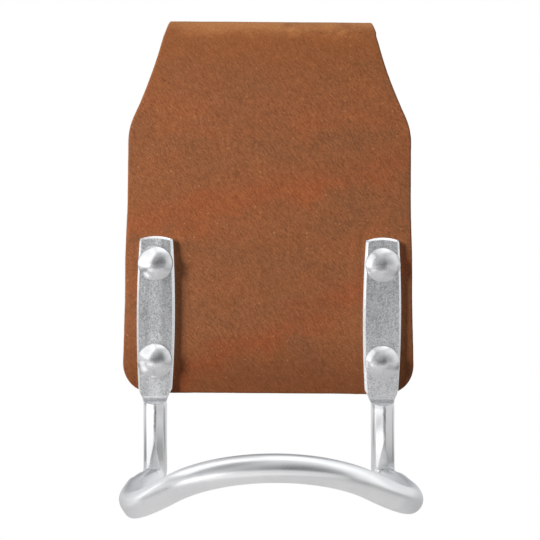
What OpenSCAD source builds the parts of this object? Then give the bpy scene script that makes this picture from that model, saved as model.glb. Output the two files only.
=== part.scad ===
// Belt hammer holder: a leather blank folded over to make a belt tunnel, with
// a bent steel rod loop whose flattened ends are riveted through both plies.
// Millimetres. +Z up, +X to the wearer's left as seen from in front, the
// loop stands out towards -Y. The origin is the middle of the flat back face
// that bears on the wearer's hip.

/* [Leather] */
// Thickness of the leather
leather_t = 4; // [3:0.1:4.5]
// Clear gap of the belt tunnel between the two plies
tunnel_gap = 6; // [5:0.1:7]
// Height of the flat part of the back face, from the fold to the joggle
flat_h = 45.8; // [42:0.1:46]
// Height over which the back ply steps in to meet the front ply
joggle_h = 11.6; // [11.4:0.1:13]
// Overall height from the fold to the bottom edge
holder_h = 105.4; // [104.6:0.1:112]
// Width across the straight sides
body_w = 79.2; // [76:0.1:84]
// Width just above the bottom corners
foot_w = 81.2; // [78:0.1:86]
// Radius of the bottom corners
foot_r = 8; // [4:0.5:12]
// Distance from the fold down to the end of the shoulder
shoulder_drop = 35; // [33:0.1:38]
// Radius of the outward shoulder curve
shoulder_r = 18.8; // [14:0.2:24]
// Radius of the inward curve that narrows the neck
neck_r = 133; // [110:1:180]
// Steepest angle of the neck's side from the vertical
neck_angle = 24.7; // [20:0.1:28]

/* [Rivets] */
// Distance from the fold down to the upper rivets
rivet_drop = 69.15; // [68.5:0.05:70]
// Vertical pitch of the rivets in one pad
rivet_pitch = 27; // [25:0.1:27.5]
// Diameter of the dome head's rim
head_d = 9.5; // [8.5:0.1:9.8]
// Height of the dome head above the pad
head_h = 3; // [2.4:0.1:3.6]
// Thickness of the thin rim round the dome
head_rim = 0.45; // [0.3:0.05:0.6]
// Diameter of the shank
shank_d = 4; // [3.2:0.1:4.2]
// Diametral clearance of the shank in the pads and the leather
shank_play = 0.2; // [0.1:0.05:0.4]
// Diameter of the back washers
burr_d = 9.3; // [8.5:0.1:9.5]
// Thickness of the back washers
burr_t = 1; // [0.8:0.1:1.2]
// Height of the peened tail behind each washer
tail_h = 0.9; // [0.6:0.1:1.2]

/* [Steel loop] */
// Diameter of the round rod
rod_d = 6.5; // [6:0.05:6.6]
// Distance of each leg from the centre plane
leg_x = 31.5; // [30:0.1:33]
// Thickness of the flattened pads
pad_t = 3.2; // [2.8:0.1:3.6]
// Width of a pad at its middle
pad_w = 10.4; // [10:0.1:11]
// Width of a pad at its ends
pad_end_w = 9; // [8.4:0.1:9.6]
// Distance from the fold down to the top of the pads
pad_drop = 62.4; // [61.8:0.1:62.6]
// Length of a pad
pad_l = 42.6; // [42:0.1:43.6]
// Rise of the crown at the top of a pad
pad_crown = 0.8; // [0.4:0.1:1.2]
// Chamfer round the front face of a pad
pad_chamfer = 0.6; // [0.3:0.05:0.8]
// Distance from the fold down to the start of the bend
bend_drop = 123.3; // [121:0.1:126]
// Centreline radius of the bend at the foot of a leg
bend_r = 4.2; // [4:0.05:6]
// Outward splay of the rod as it leaves the bend
splay = 18.3; // [12:0.1:20]
// Downward dip of the rod as it leaves the bend
dip = 12.1; // [6:0.1:14]
// Straight length between the bend and the side curve
run_l = 2.6; // [2:0.1:8]
// Centreline radius of the side curve
side_r = 41.6; // [36:0.1:46]
// Upward slope of the front curve's plane
rise = 34.3; // [28:0.1:40]
// Angle from straight ahead at which the front curve begins
turn = 40.4; // [38:0.1:48]
// Depth of the facet that the bending die leaves at the foot of each leg
press_depth = 0.8; // [0.4:0.05:1.2]
// Height over which the facet runs out upwards
press_l = 7.5; // [5:0.1:9]

/* [Hidden] */
$fn = 96;

z_top = flat_h / 2 + tunnel_gap / 2 + leather_t;   // crest of the fold
z_fold = flat_h / 2;                                // axis of the fold
z_foot = z_top - holder_h;                          // bottom edge
y_front = -(2 * leather_t + tunnel_gap);            // front face of the leather
ply_gap = 0.3;                                      // hairline between the plies
step_in = tunnel_gap - ply_gap;                     // how far the back ply steps in
y_flap = -step_in;                                  // back face of the lower flap
z_shoulder = z_top - shoulder_drop;
z_up = z_top - rivet_drop;
z_low = z_up - rivet_pitch;
z_pad = z_top - pad_drop;
z_bend = z_top - bend_drop;
rod_r = rod_d / 2;
z_neck = z_pad - pad_l - 3.2;                       // where the rod is round again

// --- small vector helpers -------------------------------------------------
function unit(v) = v / norm(v);
// Unit vector across t, in the plane of t and u, on u's side
function across(t, u) = unit(u - (u * t) * t);
function turn_of(t, u) = acos(max(-1, min(1, t * u)));
// End point of an arc that starts at p along t and ends along u
function arc_end(p, t, u, r) =
    let (n = across(t, u), a = turn_of(t, u)) p + r * (1 - cos(a)) * n + r * sin(a) * t;

// --- path of the rod on the +X side ---------------------------------------
t_down = [0, 0, -1];
t_out = [sin(splay), -cos(splay) * cos(dip), -cos(splay) * sin(dip)];
t_side = [-sin(turn), -cos(turn) * cos(rise), cos(turn) * sin(rise)];
t_front = [-1, 0, 0];
p_leg = [leg_x, y_front - rod_r, z_neck];
p_bend = [leg_x, y_front - rod_r, z_bend];
p_run = arc_end(p_bend, t_down, t_out, bend_r);
p_side = p_run + run_l * t_out;
p_front = arc_end(p_side, t_out, t_side, side_r);
front_r = p_front[0] / cos(turn);

// Places a child so that its X, Y and Z axes lie along a, b and their cross
module axes(o, a, b) {
    c = cross(a, b);
    multmatrix([[a[0], b[0], c[0], o[0]],
                [a[1], b[1], c[1], o[1]],
                [a[2], b[2], c[2], o[2]],
                [0, 0, 0, 1]]) children();
}
// Round rod bent from direction t to direction u, starting at p. The short
// bends are drawn a hair thinner and run a little way into their neighbours.
module rod_arc(p, t, u, r, thin = 0, over = 0) {
    n = across(t, u);
    ext = over / r * 180 / PI;
    axes(p + r * n, -n, t) rotate([0, 0, -ext])
        rotate_extrude(angle = turn_of(t, u) + 2 * ext) translate([r, 0]) circle(rod_r - thin);
}
// Straight round rod from p along t
module rod_line(p, t, l) {
    n = across(t, abs(t[0]) < 0.9 ? [1, 0, 0] : [0, 0, 1]);
    axes(p, n, cross(t, n)) cylinder(r = rod_r, h = l);
}

// --- leather --------------------------------------------------------------
// Right-hand edge of the blank from the fold to the bottom, as points
function blank_edge() =
    let (xs = body_w / 2, xf = foot_w / 2, steps = 10,
         // end of the shoulder curve, then the centre of the neck curve
         px = xs - shoulder_r + shoulder_r * cos(neck_angle),
         pz = z_shoulder + shoulder_r * sin(neck_angle),
         cx = px + neck_r * cos(neck_angle),
         cz = pz + neck_r * sin(neck_angle),
         a_top = asin((cz - z_top - 0.5) / neck_r))
    concat(
        [for (i = [0 : steps]) let (a = a_top + (neck_angle - a_top) * i / steps)
            [cx - neck_r * cos(a), cz - neck_r * sin(a)]],
        [for (i = [1 : steps]) let (a = neck_angle * (1 - i / steps))
            [xs - shoulder_r + shoulder_r * cos(a), z_shoulder + shoulder_r * sin(a)]],
        [[xs, z_shoulder - 18]],
        [for (i = [0 : steps]) let (a = 90 * i / steps)
            [xf - foot_r + foot_r * cos(a), z_foot + foot_r - foot_r * sin(a)]]);

module blank() {
    edge = blank_edge();
    n = len(edge) - 1;
    polygon(concat(edge, [for (i = [0 : n]) [-edge[n - i][0], edge[n - i][1]]]));
}
// Points of an arc in the profile plane: centre c, radius r, from angle a0 to a1
function arc_pts(c, r, a0, a1, steps) =
    [for (i = [0 : steps]) let (a = a0 + (a1 - a0) * i / steps) [c[0] + r * cos(a), c[1] + r * sin(a)]];
// Side profile of the folded strip in the plane of Y and Z: the front ply, the
// fold, the flat back, and the joggle that steps in to meet the front ply
module fold_profile() {
    t = leather_t;
    a = 2 * atan(step_in / joggle_h);
    r = joggle_h / (2 * sin(a));
    c_fold = [y_front / 2, z_fold];
    c_hi = [-t / 2 - r, -z_fold];
    c_lo = [y_flap - t / 2 + r, -z_fold - joggle_h];
    ri = r - t / 2;
    ro = r + t / 2;
    polygon(concat(
        [[y_front, z_foot - 1]],
        arc_pts(c_fold, tunnel_gap / 2 + t, 180, 0, 24),
        arc_pts(c_hi, ro, 0, -a, 6),
        arc_pts(c_lo, ri, 180 - a, 180, 6),
        [[y_flap, z_foot - 1], [y_flap - t, z_foot - 1]],
        arc_pts(c_lo, ro, 180, 180 - a, 6),
        arc_pts(c_hi, ri, -a, 0, 6),
        arc_pts(c_fold, tunnel_gap / 2, 0, 180, 24),
        [[y_front + t, z_foot - 1]]));
}
module leather_body() color("#96603a") {
    difference() {
        intersection() {
            rotate([90, 0, 90]) translate([0, 0, -foot_w / 2 - 1]) linear_extrude(foot_w + 2) fold_profile();
            rotate([90, 0, 0]) translate([0, 0, -2]) linear_extrude(2 * leather_t + tunnel_gap + 4) blank();
        }
        for (x = [-leg_x, leg_x]) for (z = [z_up, z_low])
            translate([x, 1, z]) rotate([90, 0, 0]) cylinder(d = shank_d + shank_play, h = 20);
    }
}

// --- steel loop -----------------------------------------------------------
// Outline of one pad, drawn in from its edge by e: bowed sides, crowned top
function pad_outline(e) =
    let (steps = 8, hm = pad_w / 2 - e, he = pad_end_w / 2 - e, l = pad_l - 2 * e)
    concat(
        [for (i = [0 : steps]) let (s = 2 * i / steps - 1)
            [he + (hm - he) * (1 - s * s), -pad_l / 2 + l * s / 2]],
        [for (i = [1 : steps - 1]) let (s = 1 - 2 * i / steps)
            [he * s, -pad_l / 2 + l / 2 + pad_crown * (1 - s * s)]],
        [for (i = [0 : steps]) let (s = 1 - 2 * i / steps)
            [-he - (hm - he) * (1 - s * s), -pad_l / 2 + l * s / 2]]);

module pad() {
    translate([leg_x, y_front, z_pad]) rotate([90, 0, 0]) hull() {
        linear_extrude(pad_t - pad_chamfer) polygon(pad_outline(0));
        linear_extrude(pad_t) polygon(pad_outline(pad_chamfer));
    }
}
// Shoulder that draws the flat pad back into the round rod
module pad_shoulder() {
    hull() {
        translate([leg_x - pad_end_w / 2 + 0.2, y_front - pad_t + 0.2, z_pad - pad_l])
            cube([pad_end_w - 0.4, pad_t - 0.2, 0.6]);
        translate([leg_x, y_front - rod_r, z_neck - 0.5]) cylinder(r = rod_r - 0.08, h = 0.5, $fn = 32);
    }
}
// Round leg with a facet pressed into the front of its foot
module leg() {
    y_rod = y_front - rod_d;
    difference() {
        rod_line(p_leg, t_down, z_neck - z_bend);
        translate([leg_x - rod_r, 0, 0]) rotate([90, 0, 90]) linear_extrude(rod_d)
            polygon([[y_rod, z_bend + press_l], [y_rod + press_depth, z_bend + 0.6],
                     [y_rod - 1, z_bend + 0.6], [y_rod - 1, z_bend + press_l]]);
    }
}
module loop_side() {
    difference() {
        union() { pad(); pad_shoulder(); }
        for (z = [z_up, z_low]) translate([leg_x, y_front + 1, z]) rotate([90, 0, 0])
            cylinder(d = shank_d + shank_play, h = pad_t + 2);
    }
    leg();
    rod_arc(p_bend, t_down, t_out, bend_r, 0.03, 0.3);
    rod_line(p_run, t_out, run_l);
    rod_arc(p_side, t_out, t_side, side_r, 0.03, 0.6);
}
module steel_loop() color("#c8c9cb") {
    for (m = [0, 1]) mirror([m, 0, 0]) loop_side();
    rod_arc(p_front, t_side, [t_side[0], -t_side[1], -t_side[2]], front_r);
}

// --- rivets ---------------------------------------------------------------
// Dome head on the pad, shank through both plies, tail peened over the washer
module rivet(x, z) {
    grip = pad_t + 2 * leather_t + ply_gap + burr_t;
    cap_h = head_h - head_rim;
    cap_r = head_d / 2 - 0.25;
    ball = (cap_r * cap_r + cap_h * cap_h) / (2 * cap_h);
    tail_r = shank_d / 2 + 1.1;
    tail_ball = (tail_r * tail_r + tail_h * tail_h) / (2 * tail_h);
    translate([x, y_front - pad_t, z]) rotate([90, 0, 0]) {
        cylinder(d = head_d, h = head_rim);
        intersection() {
            translate([0, 0, head_h - ball]) sphere(ball);
            cylinder(d = head_d, h = head_h + 1);
        }
        translate([0, 0, -grip]) cylinder(d = shank_d, h = grip);
        intersection() {
            translate([0, 0, -grip - tail_h + tail_ball]) sphere(tail_ball);
            translate([0, 0, -grip - tail_h - 1]) cylinder(r = tail_r + 1, h = tail_h + 1);
        }
    }
}
// Flat washer under the peened tail
module burr(x, z) {
    translate([x, y_flap + burr_t, z]) rotate([90, 0, 0]) difference() {
        cylinder(d = burr_d, h = burr_t);
        translate([0, 0, -1]) cylinder(d = shank_d + 0.1, h = burr_t + 2);
    }
}
module rivet_upper_left() color("#d4d5d6") rivet(-leg_x, z_up);
module rivet_upper_right() color("#d4d5d6") rivet(leg_x, z_up);
module rivet_lower_left() color("#d4d5d6") rivet(-leg_x, z_low);
module rivet_lower_right() color("#d4d5d6") rivet(leg_x, z_low);
module burr_upper_left() color("#bfc0c2") burr(-leg_x, z_up);
module burr_upper_right() color("#bfc0c2") burr(leg_x, z_up);
module burr_lower_left() color("#bfc0c2") burr(-leg_x, z_low);
module burr_lower_right() color("#bfc0c2") burr(leg_x, z_low);

leather_body();
steel_loop();
rivet_upper_left();
rivet_upper_right();
rivet_lower_left();
rivet_lower_right();
burr_upper_left();
burr_upper_right();
burr_lower_left();
burr_lower_right();
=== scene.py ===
import math

import bpy
import numpy as np
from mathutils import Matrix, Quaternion, Vector, noise


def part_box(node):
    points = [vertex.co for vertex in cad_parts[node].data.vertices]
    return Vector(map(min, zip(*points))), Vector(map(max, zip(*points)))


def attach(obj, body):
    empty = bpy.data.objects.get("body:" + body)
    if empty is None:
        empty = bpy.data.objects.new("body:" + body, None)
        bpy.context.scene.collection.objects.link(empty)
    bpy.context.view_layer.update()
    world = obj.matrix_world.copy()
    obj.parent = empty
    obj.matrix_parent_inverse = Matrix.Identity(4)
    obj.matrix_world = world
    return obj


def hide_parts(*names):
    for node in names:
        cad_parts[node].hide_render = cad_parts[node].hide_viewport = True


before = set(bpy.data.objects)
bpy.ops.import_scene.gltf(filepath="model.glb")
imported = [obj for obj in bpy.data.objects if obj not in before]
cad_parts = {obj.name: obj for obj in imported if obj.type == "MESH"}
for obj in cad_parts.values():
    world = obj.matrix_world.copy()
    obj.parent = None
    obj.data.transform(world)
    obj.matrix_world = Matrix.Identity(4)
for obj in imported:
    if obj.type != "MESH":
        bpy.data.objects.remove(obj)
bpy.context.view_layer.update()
MM = 0.001
rng = np.random.default_rng(11)

# ---------------------------------------------------------------- frame sizes (mm)
leather_lo, leather_hi = (np.array(v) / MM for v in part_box("leather_body"))
loop_lo, loop_hi = (np.array(v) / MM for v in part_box("steel_loop"))
T = 4.0                                   # leather thickness
GAP = 6.0                                 # belt tunnel
Z_TOP = float(leather_hi[2])
Z_FOOT = float(leather_lo[2])
Y_FRONT = float(leather_lo[1])
Z_FOLD = Z_TOP - GAP / 2 - T
STEP_IN = 5.7
JOG = 11.6
FOOT_HALF = float(leather_hi[0])
BODY_HALF = 39.6


def centre(node):
    lo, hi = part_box(node)
    return (np.array(lo) + np.array(hi)) / 2 / MM


RIVETS = {n: centre("rivet_" + n) for n in ("upper_left", "upper_right", "lower_left", "lower_right")}
LEG_X = float(RIVETS["upper_right"][0])


# ---------------------------------------------------------------- helpers
def smooth(a, b, x):
    t = np.clip((np.asarray(x, float) - a) / (b - a), 0, 1)
    return t * t * (3 - 2 * t)


def fbm(p, scale, octaves=3, seed=0.0):
    v, amp, tot, q = 0.0, 1.0, 0.0, Vector(p) * scale + Vector((seed, seed * 1.7, -seed))
    for _ in range(octaves):
        v += amp * noise.noise(q)
        tot += amp
        amp *= 0.5
        q = q * 2.03
    return v / tot


def fbm_many(pts, scale, octaves=3, seed=0.0):
    return np.array([fbm(p, scale, octaves, seed) for p in pts])


def make_object(name, verts_mm, faces, mats, face_mat=None, sharp=None):
    me = bpy.data.meshes.new(name)
    me.from_pydata([tuple(v) for v in np.asarray(verts_mm) * MM], [], [tuple(int(i) for i in f) for f in faces])
    me.validate()
    for m in mats:
        me.materials.append(m)
    if face_mat is not None:
        me.polygons.foreach_set("material_index", np.asarray(face_mat, np.int32))
    me.polygons.foreach_set("use_smooth", [True] * len(me.polygons))
    me.update()
    if sharp is not None:
        me.set_sharp_from_angle(angle=math.radians(sharp))
    ob = bpy.data.objects.new(name, me)
    bpy.context.scene.collection.objects.link(ob)
    return ob


def revolve(profile, seg):
    """Points of a closed body turned about an axis: profile is [(radius, height)], first and last on the axis."""
    verts, rings = [], []
    for r, h in profile:
        if r < 1e-6:
            rings.append([len(verts)])
            verts.append((0, 0, h))
        else:
            rings.append(list(range(len(verts), len(verts) + seg)))
            for k in range(seg):
                a = 2 * math.pi * k / seg
                verts.append((r * math.cos(a), r * math.sin(a), h))
    faces = []
    for a, b in zip(rings, rings[1:]):
        for k in range(seg):
            j = (k + 1) % seg
            if len(a) == 1 and len(b) == 1:
                continue
            if len(a) == 1:
                faces.append((a[0], b[k], b[j]))
            elif len(b) == 1:
                faces.append((a[k], b[0], a[j]))
            else:
                faces.append((a[k], b[k], b[j], a[j]))
    return np.array(verts, float), faces


# ---------------------------------------------------------------- node materials
class Nodes:
    def __init__(self, name):
        self.mat = bpy.data.materials.new(name)
        self.mat.use_nodes = True
        self.t = self.mat.node_tree
        self.t.nodes.clear()
        self.out = self.t.nodes.new("ShaderNodeOutputMaterial")

    def put(self, sock, v):
        if hasattr(v, "links") or hasattr(v, "is_output"):
            self.t.links.new(v, sock)
        elif v is not None:
            if isinstance(v, (tuple, list)) and len(v) == 3 and sock.type == "RGBA":
                v = (*v, 1.0)
            sock.default_value = v

    def add(self, kind, props=None, out=0, **ins):
        n = self.t.nodes.new(kind)
        for k, v in (props or {}).items():
            setattr(n, k, v)
        for k, v in ins.items():
            key = int(k[1:]) if k[0] == "i" and k[1:].isdigit() else k.replace("_", " ")
            self.put(n.inputs[key], v)
        return n.outputs[out] if out is not None else n

    def math(self, op, a, b=None, c=None, clamp=False):
        n = self.t.nodes.new("ShaderNodeMath")
        n.operation = op
        n.use_clamp = clamp
        for k, v in enumerate((a, b, c)):
            if v is not None:
                self.put(n.inputs[k], v)
        return n.outputs[0]

    def mix(self, f, a, b, mode="MIX"):
        n = self.t.nodes.new("ShaderNodeMix")
        n.data_type = "RGBA"
        n.blend_type = mode
        n.clamp_factor = True
        self.put(n.inputs[0], f)
        self.put(n.inputs[6], a)
        self.put(n.inputs[7], b)
        return n.outputs[2]

    def ramp(self, v, lo, hi, a=0.0, b=1.0, smooth_step=True):
        n = self.t.nodes.new("ShaderNodeMapRange")
        n.interpolation_type = "SMOOTHSTEP" if smooth_step else "LINEAR"
        self.put(n.inputs[0], v)
        for k, x in zip((1, 2, 3, 4), (lo, hi, a, b)):
            self.put(n.inputs[k], x)
        return n.outputs[0]

    def coord(self):
        return self.add("ShaderNodeTexCoord", out=None).outputs["Object"]

    def split(self, v):
        n = self.add("ShaderNodeSeparateXYZ", out=None, i0=v)
        return n.outputs[0], n.outputs[1], n.outputs[2]

    def scaled(self, v, s, loc=(0, 0, 0), rot=(0, 0, 0)):
        return self.add("ShaderNodeMapping", {"vector_type": "POINT"}, 0, Vector=v, Location=loc, Rotation=rot, Scale=s)

    def noise(self, v, scale=1.0, detail=3.0, rough=0.5, dist=0.0, out=0):
        return self.add("ShaderNodeTexNoise", {}, out, Vector=v, Scale=scale, Detail=detail, Roughness=rough, Distortion=dist)

    def bump(self, h, strength, dist, normal=None):
        n = self.add("ShaderNodeBump", {}, None, Strength=strength, Distance=dist, Height=h)
        if normal is not None:
            self.put(n.inputs["Normal"], normal)
        return n.outputs[0]

    def bsdf(self, **kw):
        n = self.add("ShaderNodeBsdfPrincipled", {}, None)
        for k, v in kw.items():
            self.put(n.inputs[k.replace("_", " ")], v)
        self.t.links.new(n.outputs[0], self.out.inputs[0])
        return n


def srgb(r, g, b):
    return tuple((c / 255 / 12.92) if c <= 10 else ((c / 255 + 0.055) / 1.055) ** 2.4 for c in (r, g, b))


def streaked(N, co, angle, along, across, seed=0.0):
    """Coordinates stretched along a direction in the plane of X and Z, for fibres and hair grain."""
    r = N.add("ShaderNodeVectorRotate", {"rotation_type": "Y_AXIS"}, 0, Vector=co, Angle=angle)
    return N.scaled(r, (along, across, across), loc=(seed, seed, seed))


def leather_grain():
    N = Nodes("leather_grain_side")
    co = N.coord()
    x, y, z = N.split(co)
    # the whole hide: patches that lean to red or to grey, drawn out across the hide
    n1 = N.noise(N.scaled(co, (38, 38, 62), loc=(3.1, 0, 1.7)), 1.0, 4, 0.55, 0.6)
    n2 = N.noise(N.scaled(co, (95, 95, 150), loc=(7.3, 1, 4.1)), 1.0, 4, 0.6, 0.4)
    n3 = N.noise(N.scaled(co, (300, 300, 420), loc=(1.3, 8, 0.1)), 1.0, 4, 0.6, 0.3)
    base = N.mix(N.ramp(n1, 0.36, 0.64), srgb(149, 96, 64), srgb(156, 98, 63))
    base = N.mix(N.math("MULTIPLY", N.ramp(n2, 0.42, 0.68), 0.28), base, srgb(166, 94, 55))
    base = N.mix(N.math("MULTIPLY", N.ramp(n2, 0.58, 0.32), 0.24), base, srgb(138, 84, 54))
    base = N.mix(N.math("MULTIPLY", N.ramp(n3, 0.62, 0.36), 0.10), base, srgb(128, 74, 46))

    # two soft reddish bands that cross the hide on the slant
    def band(x0, z0, slope, width, amount, colour, base):
        wob = N.math("MULTIPLY", N.math("SUBTRACT", n2, 0.5), 0.016)
        d = N.math("SUBTRACT", N.math("SUBTRACT", z, z0), N.math("MULTIPLY", N.math("SUBTRACT", x, x0), slope))
        d = N.math("ABSOLUTE", N.math("ADD", d, wob))
        m = N.math("MULTIPLY", N.ramp(d, width, 0.0), N.ramp(n1, 0.30, 0.55, 0.35, 1.0))
        return N.mix(N.math("MULTIPLY", m, amount), base, colour)

    base = band(0.0, -0.0195, 0.25, 0.0075, 0.42, srgb(170, 90, 53), base)
    base = band(0.004, -0.0565, 0.49, 0.0070, 0.48, srgb(165, 84, 49), base)
    base = band(-0.02, 0.004, -0.05, 0.0080, 0.30, srgb(168, 96, 58), base)
    # hair grain: short fine streaks that run down to the right
    s1 = N.noise(streaked(N, co, math.radians(-52), 800, 3600, 0.0), 1.0, 3, 0.6)
    s2 = N.noise(streaked(N, co, math.radians(-44), 1500, 5600, 5.0), 1.0, 2, 0.6)
    s3 = N.noise(streaked(N, co, math.radians(-60), 260, 1100, 9.0), 1.0, 3, 0.55)
    fine = N.math("ADD", N.math("MULTIPLY", s1, 0.6), N.math("MULTIPLY", s2, 0.4))
    shade = N.math("ADD", N.ramp(fine, 0.32, 0.68, 0.62, 1.40, False), N.math("MULTIPLY", N.math("SUBTRACT", s3, 0.5), 0.14))
    s4 = N.noise(N.scaled(co, (4600, 4600, 4600), loc=(2, 6, 3)), 1.0, 2, 0.5)
    shade = N.math("MULTIPLY", shade, N.ramp(s4, 0.30, 0.70, 0.82, 1.18, False))
    shade3 = N.add("ShaderNodeCombineColor", {}, 0, i0=shade, i1=shade, i2=shade)
    col = N.mix(1.0, base, shade3, "MULTIPLY")
    # tiny pale specks and dark pores
    flat = N.add("ShaderNodeCombineXYZ", {}, 0, i0=x, i1=z)
    for scale, lo_r, hi_r, amount, off in ((760.0, 0.88, 0.98, 0.50, 0.0), (1500.0, 0.84, 0.97, 0.48, 3.0)):
        vo = N.add("ShaderNodeTexVoronoi", {"feature": "F1", "voronoi_dimensions": "2D"}, None,
                   Vector=N.scaled(flat, (1, 1, 1), loc=(off, off, off)), Scale=scale)
        r = N.split(vo.outputs["Color"])
        size = N.ramp(r[1], 0.0, 1.0, 0.12, 0.26, False)
        dot = N.math("MULTIPLY", N.ramp(N.math("DIVIDE", vo.outputs["Distance"], size), 1.0, 0.45), N.ramp(r[0], lo_r, hi_r))
        dot = N.math("MULTIPLY", dot, N.ramp(n1, 0.35, 0.6, 0.5, 1.0))
        col = N.mix(N.math("MULTIPLY", dot, amount), col, srgb(216, 164, 114))
    vp = N.add("ShaderNodeTexVoronoi", {"feature": "F1"}, None, Vector=N.scaled(co, (1, 1, 1), loc=(4, 2, 9)), Scale=620.0)
    rp = N.split(vp.outputs["Color"])
    pore = N.math("MULTIPLY", N.ramp(vp.outputs["Distance"], 0.26, 0.07), N.ramp(rp[1], 0.55, 0.70))
    col = N.mix(N.math("MULTIPLY", pore, 0.50), col, srgb(84, 44, 24))
    # pull-up: the hide lightens where it is stretched over the fold; part of this is a painted highlight on the fold's
    # top, brightest towards the right. Below it the hide turns a little more orange.
    z_crest = Z_TOP * MM
    up = N.ramp(N.math("ADD", z, N.math("MULTIPLY", N.math("SUBTRACT", n2, 0.5), 0.012)), z_crest - 0.0056, z_crest + 0.0006)
    # painted highlight: the fold's lightening fades towards the left
    up = N.math("MULTIPLY", up, N.ramp(x, -0.028, 0.018, 0.74, 1.0))
    col = N.mix(N.math("MULTIPLY", up, 0.88), col, N.mix(1.0, srgb(218, 154, 98), shade3, "MULTIPLY"))
    up2 = N.ramp(z, z_crest - 0.024, z_crest - 0.006)
    col = N.mix(N.math("MULTIPLY", up2, 0.30), col, srgb(154, 90, 44))
    # darker towards the foot
    foot = N.ramp(z, (Z_FOOT + 20) * MM, Z_FOOT * MM)
    col = N.mix(N.math("MULTIPLY", foot, 0.50), col, srgb(106, 56, 29))
    rough = N.ramp(N.math("ADD", N.math("MULTIPLY", n2, 0.6), N.math("MULTIPLY", s1, 0.4)), 0.3, 0.7, 0.50, 0.66, False)
    height = N.math("ADD", N.math("MULTIPLY", fine, 0.7), N.math("MULTIPLY", n3, 0.9))
    height = N.math("SUBTRACT", height, N.math("MULTIPLY", pore, 0.5))
    nrm = N.bump(height, 0.55, 0.00012)
    N.bsdf(Base_Color=col, Roughness=rough, Specular_IOR_Level=0.11, Normal=nrm, Sheen_Weight=0.01, Sheen_Roughness=0.4,
           Sheen_Tint=(*srgb(220, 170, 130), 1))
    return N.mat


def leather_edge():
    N = Nodes("leather_cut_edge")
    co = N.coord()
    x, y, z = N.split(co)
    n1 = N.noise(N.scaled(co, (260, 260, 260)), 1.0, 4, 0.6, 0.4)
    n2 = N.noise(N.scaled(co, (900, 2600, 900)), 1.0, 4, 0.65)
    col = N.mix(N.ramp(n1, 0.35, 0.65), srgb(176, 124, 82), srgb(150, 96, 60))
    col = N.mix(N.math("MULTIPLY", N.ramp(n2, 0.60, 0.35), 0.55), col, srgb(112, 66, 40))
    nrm = N.bump(N.math("ADD", n2, N.math("MULTIPLY", n1, 0.6)), 0.6, 0.00015)
    N.bsdf(Base_Color=col, Roughness=N.ramp(n2, 0.3, 0.7, 0.48, 0.70, False), Specular_IOR_Level=0.35, Normal=nrm)
    return N.mat


def leather_flesh():
    N = Nodes("leather_flesh_side")
    co = N.coord()
    n1 = N.noise(N.scaled(co, (120, 120, 160)), 1.0, 5, 0.6, 0.8)
    n2 = N.noise(streaked(N, co, math.radians(20), 1500, 3200, 2.0), 1.0, 5, 0.7, 0.5)
    n3 = N.noise(N.scaled(co, (5200, 5200, 5200)), 1.0, 3, 0.6)
    col = N.mix(N.ramp(n1, 0.35, 0.65), srgb(176, 132, 94), srgb(150, 106, 72))
    col = N.mix(N.math("MULTIPLY", N.ramp(n2, 0.60, 0.35), 0.6), col, srgb(120, 80, 52))
    col = N.mix(N.math("MULTIPLY", N.ramp(n3, 0.55, 0.75), 0.4), col, srgb(206, 168, 130))
    nrm = N.bump(N.math("ADD", N.math("MULTIPLY", n2, 1.2), N.math("MULTIPLY", n3, 0.4)), 0.8, 0.0003)
    N.bsdf(Base_Color=col, Roughness=0.92, Specular_IOR_Level=0.2, Normal=nrm, Sheen_Weight=0.35, Sheen_Roughness=0.5,
           Sheen_Tint=(*srgb(226, 190, 150), 1))
    return N.mat


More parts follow.
